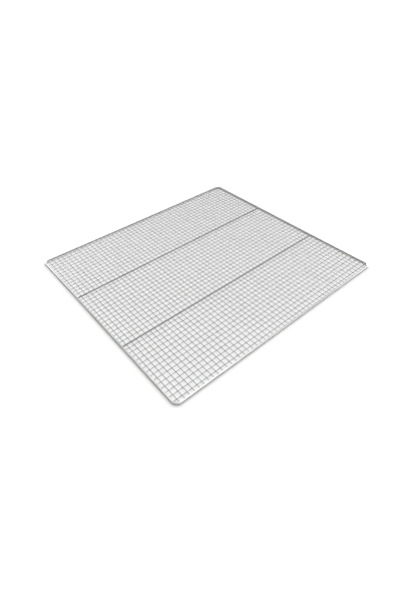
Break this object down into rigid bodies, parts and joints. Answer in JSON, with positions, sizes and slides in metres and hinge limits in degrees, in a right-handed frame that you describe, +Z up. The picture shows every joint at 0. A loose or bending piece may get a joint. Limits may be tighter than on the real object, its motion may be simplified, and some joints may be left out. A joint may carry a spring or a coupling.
{
  "type": "wire rack",
  "caption": "Flat rectangular wire rack: a fine welded wire grid inside a bent round-rod frame with rounded corners, carried on support bars, to drain or dry food in an appliance.",
  "frame": {"origin": "middle of the rack's outline, on the surface that it lies on", "axes": "+X along the support bars, +Y from the front edge to the rear edge, +Z up"},
  "size_m": [0.662, 0.586, 0.005],
  "materials": {
    "frame_rod": "bright plated round rod",
    "support_bar": "bright plated round rod",
    "grid_wire": "bright plated drawn wire"
  },
  "bodies": {
    "root": {"cross_wire_01": "grid_wire", "cross_wire_02": "grid_wire", "cross_wire_03": "grid_wire", "cross_wire_04": "grid_wire", "cross_wire_05": "grid_wire", "cross_wire_06": "grid_wire", "cross_wire_07": "grid_wire", "cross_wire_08": "grid_wire", "cross_wire_09": "grid_wire", "cross_wire_10": "grid_wire", "cross_wire_11": "grid_wire", "cross_wire_12": "grid_wire", "cross_wire_13": "grid_wire", "cross_wire_14": "grid_wire", "cross_wire_15": "grid_wire", "cross_wire_16": "grid_wire", "cross_wire_17": "grid_wire", "cross_wire_18": "grid_wire", "cross_wire_19": "grid_wire", "cross_wire_20": "grid_wire", "cross_wire_21": "grid_wire", "cross_wire_22": "grid_wire", "cross_wire_23": "grid_wire", "cross_wire_24": "grid_wire", "cross_wire_25": "grid_wire", "cross_wire_26": "grid_wire", "cross_wire_27": "grid_wire", "cross_wire_28": "grid_wire", "cross_wire_29": "grid_wire", "cross_wire_30": "grid_wire", "cross_wire_31": "grid_wire", "cross_wire_32": "grid_wire", "cross_wire_33": "grid_wire", "cross_wire_34": "grid_wire", "cross_wire_35": "grid_wire", "cross_wire_36": "grid_wire", "cross_wire_37": "grid_wire", "cross_wire_38": "grid_wire", "cross_wire_39": "grid_wire", "cross_wire_40": "grid_wire", "cross_wire_41": "grid_wire", "cross_wire_42": "grid_wire", "cross_wire_43": "grid_wire", "cross_wire_44": "grid_wire", "cross_wire_45": "grid_wire", "cross_wire_46": "grid_wire", "cross_wire_47": "grid_wire", "cross_wire_48": "grid_wire", "cross_wire_49": "grid_wire", "cross_wire_50": "grid_wire", "cross_wire_51": "grid_wire", "frame_rod": "frame_rod", "front_long_wires": "grid_wire", "front_support_bar": "support_bar", "middle_long_wires": "grid_wire", "rear_long_wires": "grid_wire", "rear_support_bar": "support_bar"}
  },
  "joints": []
}
